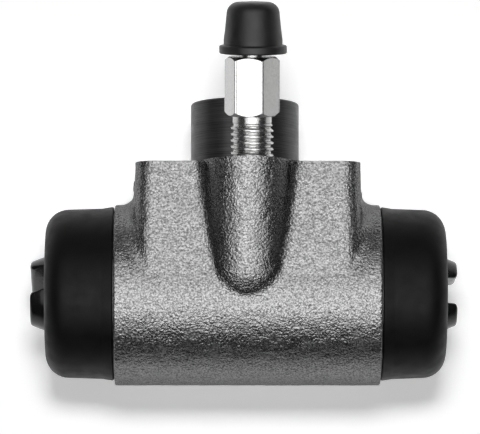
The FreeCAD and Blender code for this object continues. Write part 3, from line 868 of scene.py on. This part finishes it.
def zinc_plate():
    made = Finish("zinc_plated_steel_bright", Metallic=1.0)
    fine = made.grain(7.0, 2.0, (1, 0.12, 1))
    mottle = made.grain(3.0, 2.0)
    made.shade(made.spread(mottle, 0, 1), (0.47, 0.47, 0.47), (0.56, 0.56, 0.55))
    made.gloss(made.spread(made.grain(1.5, 3.0), 0.18, 0.26))
    made.relief((fine, 0.008), (mottle, 0.012))
    return made.material


def rubber(name, tone, gloss, sheen_level):
    made = Finish(name, Specular_IOR_Level=sheen_level)
    fine = made.grain(9.0, 2.0)
    dull = made.grain(0.5, 3.0)
    made.shade(made.spread(dull, 0, 1), (tone * 0.75,) * 3, (tone * 1.3,) * 3)
    made.gloss(made.spread(dull, gloss - 0.06, gloss + 0.08))
    made.relief((fine, 0.006))
    return made.material


def black_plate():
    made = Finish("black_piston_coat", Specular_IOR_Level=0.35)
    fine = made.grain(5.0, 2.0)
    made.shade(made.spread(made.grain(1.0, 3.0), 0, 1), (0.004,) * 3, (0.009,) * 3)
    made.gloss(made.spread(made.grain(0.9, 2.0), 0.16, 0.28))
    made.relief((fine, 0.006))
    return made.material


def spring_steel():
    made = Finish("spring_steel_drawn", Metallic=1.0)
    made.shade(made.spread(made.grain(2.0, 3.0), 0, 1), (0.33, 0.34, 0.35), (0.5, 0.5, 0.5))
    made.gloss(made.spread(made.grain(1.0, 2.0), 0.25, 0.42))
    made.relief((made.grain(8.0, 2.0), 0.005))
    return made.material


def smooth(obj, angle=35):
    obj.data.shade_smooth()
    obj.data.set_sharp_from_angle(angle=math.radians(angle))


def paint_body(body, *finishes):
    """Cast skin, spigot, mounting face and what is turned about X, told apart by where they lie."""
    for finish in finishes:
        body.data.materials.append(finish)
    count = len(body.data.polygons)
    centres = np.empty(count * 3)
    body.data.polygons.foreach_get("center", centres)
    centres = centres.reshape(-1, 3) / MM
    x, y, z = centres[:, 0] - CAST_X, centres[:, 1], centres[:, 2]
    skin = np.abs(cast_distance(centres)) < SKIN_REACH
    skin &= (np.abs(x) < BARREL_HALF - FACED_REACH) & (y < -FACED_REACH) & (z > -BLOCK_DEPTH - OVERSHOOT)
    spigot_or_port = y > FACED_REACH
    above_bore = y > -BORE_DROP + BORE_R + HOLE_EDGE
    index = np.where(skin, 0, np.where(spigot_or_port, 1, np.where(above_bore, 2, 3)))
    body.data.polygons.foreach_set("material_index", index.astype(np.int32))


def area_light(name, place, target, size, power):
    data = bpy.data.lights.new(name, "AREA")
    data.shape = "RECTANGLE"
    data.size, data.size_y = size[0] * MM, size[1] * MM
    data.energy = power
    lamp = bpy.data.objects.new(name, data)
    bpy.context.scene.collection.objects.link(lamp)
    lamp.location = Vector(place) * MM
    lamp.rotation_euler = (Vector(target) - Vector(place)).to_track_quat("-Z", "Y").to_euler()
    return lamp


def upright_view(back):
    """Right and up of a camera that looks against the given direction, with +Y up in the picture."""
    right = Vector((0, 1, 0)).cross(back).normalized()
    return right, back.cross(right)


def set_camera():
    bore = Vector((CAST_X, -AIM_DROP, 0))
    back = Vector((
        -math.sin(CAMERA_SWING) * math.cos(CAMERA_DIP),
        -math.sin(CAMERA_DIP),
        math.cos(CAMERA_SWING) * math.cos(CAMERA_DIP),
    ))
    right, up = upright_view(back)
    eye = bore + back * CAMERA_DISTANCE
    off_x = (PHOTO_SIZE[0] / 2 - BORE_PIXEL[0]) / SCALE_AT_BORE
    off_y = (BORE_PIXEL[1] - PHOTO_SIZE[1] / 2) / SCALE_AT_BORE
    back = (eye - bore - right * off_x - up * off_y).normalized()
    right, up = upright_view(back)
    data = bpy.data.cameras.new("camera")
    data.sensor_width = SENSOR_WIDTH
    data.lens = SCALE_AT_BORE * CAMERA_DISTANCE * SENSOR_WIDTH / PHOTO_SIZE[0]
    data.clip_start, data.clip_end = CAMERA_CLIP
    camera = bpy.data.objects.new("camera", data)
    bpy.context.scene.collection.objects.link(camera)
    camera.matrix_world = Matrix.Translation(eye * MM) @ Matrix((right, up, back)).transposed().to_4x4()
    bpy.context.scene.camera = camera


def floor_lift(tree):
    """Extra light of the floor in what is seen straight, through glass or reflected. In reflections it
    fades towards -Y."""
    path = tree.nodes.new("ShaderNodeLightPath").outputs
    where = tree.nodes.new("ShaderNodeNewGeometry").outputs["Position"]
    parts = add_node(tree, "ShaderNodeSeparateXYZ", {"Vector": where}).outputs
    far, near = (y * MM for y in FLOOR_FADE)
    fade = add_node(tree, "ShaderNodeMapRange", {"Value": parts["Y"], "From Min": far, "From Max": near})

    def combined(operation, first, second):
        return add_node(tree, "ShaderNodeMath", {0: first, 1: second}, operation=operation).outputs[0]

    reflected = combined("MULTIPLY", path["Is Glossy Ray"], fade.outputs[0])
    straight = combined("MAXIMUM", path["Is Camera Ray"], path["Is Transmission Ray"])
    return combined("MULTIPLY", combined("MAXIMUM", reflected, straight), FLOOR_LIFT)


def make_floor():
    """White floor under the flat back."""
    size, low = FLOOR_HALF, -BLOCK_DEPTH
    points = [(-size, -size, low), (size, -size, low), (size, size, low), (-size, size, low)]
    floor = mesh_object("floor", points, [(0, 1, 2, 3)])
    paper = bpy.data.materials.new("paper")
    paper.use_nodes = True
    tree = paper.node_tree
    tree.nodes.clear()
    glow = add_node(tree, "ShaderNodeEmission", {"Strength": floor_lift(tree)})
    diffuse = add_node(tree, "ShaderNodeBsdfDiffuse", {"Color": (FLOOR_TONE, FLOOR_TONE, FLOOR_TONE, 1)})
    both = add_node(tree, "ShaderNodeAddShader", {0: diffuse.outputs[0], 1: glow.outputs[0]})
    add_node(tree, "ShaderNodeOutputMaterial", {"Surface": both.outputs[0]})
    floor.data.materials.append(paper)


def make_world():
    """Dim room, brighter beyond the mounting face."""
    world = bpy.data.worlds.new("studio")
    world.use_nodes = True
    tree = world.node_tree
    where = tree.nodes.new("ShaderNodeTexCoord").outputs["Generated"]
    across = add_node(tree, "ShaderNodeSeparateXYZ", {"Vector": where}).outputs["Y"]
    start, end = WORLD_BLEND
    level = add_node(tree, "ShaderNodeMapRange", {
        "Value": across, "From Min": start, "From Max": end, "To Min": WORLD_DIM, "To Max": WORLD_BRIGHT,
    })
    back = tree.nodes["Background"]
    back.inputs["Color"].default_value = (1, 1, 1, 1)
    tree.links.new(level.outputs["Result"], back.inputs["Strength"])
    bpy.context.scene.world = world


def panel(name, place, target, spread, radiance):
    """Rectangle above the bore, so many degrees wide each way, that is seen in reflections only."""
    width, height = (2 * SOFTBOX_HEIGHT * math.tan(math.radians(angle)) for angle in spread)
    power = radiance * math.pi * width * height * MM * MM
    lamp = area_light(name, place, target, (width, height), power)
    lamp.visible_diffuse = False


def key_power():
    """Power with which the lamp gives a matt white surface at the bore the wanted light."""
    half = KEY_BEAM / 2
    gathered = math.tan(half) / (math.tan(half) - half)
    return KEY_SHARE * (math.pi * KEY_DISTANCE * MM) ** 2 / math.cos(KEY_TILT) / gathered


def make_light():
    """A softbox straight above for what is reflected, and a lamp towards +Y that lights what is matt."""
    bore = Vector((0, -BORE_DROP, 0))
    below = bore + Vector((0, math.tan(SOFTBOX_ASIDE) * SOFTBOX_HEIGHT, 0))
    above = below + Vector((0, 0, SOFTBOX_HEIGHT))
    panel("softbox", above, below, SOFTBOX_SPREAD, SOFTBOX_RADIANCE)
    way = Vector((0, math.sin(HOT_TILT), math.cos(HOT_TILT)))
    panel("hot_middle", bore + way * SOFTBOX_HEIGHT, bore, HOT_SPREAD, HOT_RADIANCE)
    way = Vector((0, math.sin(KEY_TILT), math.cos(KEY_TILT)))
    key = area_light("key", bore + way * KEY_DISTANCE, bore, KEY_SIZE, key_power())
    key.data.spread = KEY_BEAM
    key.visible_glossy = False
    make_world()


def dress(obj, finish, slot, body, *nodes):
    """Give a piece its finish, and let it ride on a body in place of the CAD nodes. The slot is not used."""
    if finish:
        obj.data.materials.append(finish)
    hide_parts(*nodes)
    if body:
        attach(obj, body)


def repaint(node, finish):
    node.data.materials.clear()
    node.data.materials.append(finish)


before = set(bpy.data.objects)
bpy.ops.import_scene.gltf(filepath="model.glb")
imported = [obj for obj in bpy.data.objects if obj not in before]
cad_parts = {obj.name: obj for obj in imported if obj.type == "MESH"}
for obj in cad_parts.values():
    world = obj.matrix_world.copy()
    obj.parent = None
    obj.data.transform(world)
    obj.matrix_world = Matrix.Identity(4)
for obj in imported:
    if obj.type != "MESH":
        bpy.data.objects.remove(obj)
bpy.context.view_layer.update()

body = body_mesh()
body.name = "cylinder_body_visual"
paint_body(
    body,
    cast_iron(),
    turned_iron("spigot_turned", (0.02, 1, 0.02), 0.045, 0.09),
    turned_iron("face_milled", (0.02, 1, 0.5), 0.26, 0.36),
    turned_iron("bore_turned", (1, 0.02, 0.02), 0.2, 0.3),
)
smooth(body, 50)
dress(body, None, "cast_iron", "root", "cylinder_body")

screw = screw_mesh()
smooth(screw, 28)
dress(screw, zinc_plate(), "zinc_plated_steel", "bleeder", "bleeder_screw")

cap = cap_mesh()
smooth(cap, 35)
dress(cap, rubber("cap_rubber_satin", 0.005, 0.44, 0.5), "cap_rubber", "cap", "bleeder_cap")

boot_finish = rubber("boot_rubber_satin", 0.001, 0.5, 0.17)
piston_finish = black_plate()
for word, side in SIDES.items():
    piston = piston_mesh(side, word)
    smooth(piston, 50)
    dress(piston, piston_finish, "black_piston", f"{word}_piston", f"piston_{word}")
    boot = boot_mesh(side, word)
    smooth(boot, 35)
    dress(boot, boot_finish, "boot_rubber", None, f"boot_{word}")
    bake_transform(boot)

steel = spring_steel()
seal = rubber("seal_rubber_matt", 0.012, 0.5, 0.3)
for word, side in SIDES.items():
    spring = spring_mesh(side, word)
    smooth(spring, 60)
    dress(spring, steel, "spring_steel", None, "return_spring")
    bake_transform(spring)
    repaint(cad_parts[f"cup_spreader_{word}"], steel)
    repaint(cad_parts[f"cup_seal_{word}"], seal)

make_floor()
make_light()
set_camera()
bpy.context.scene.view_settings.view_transform = "Standard"
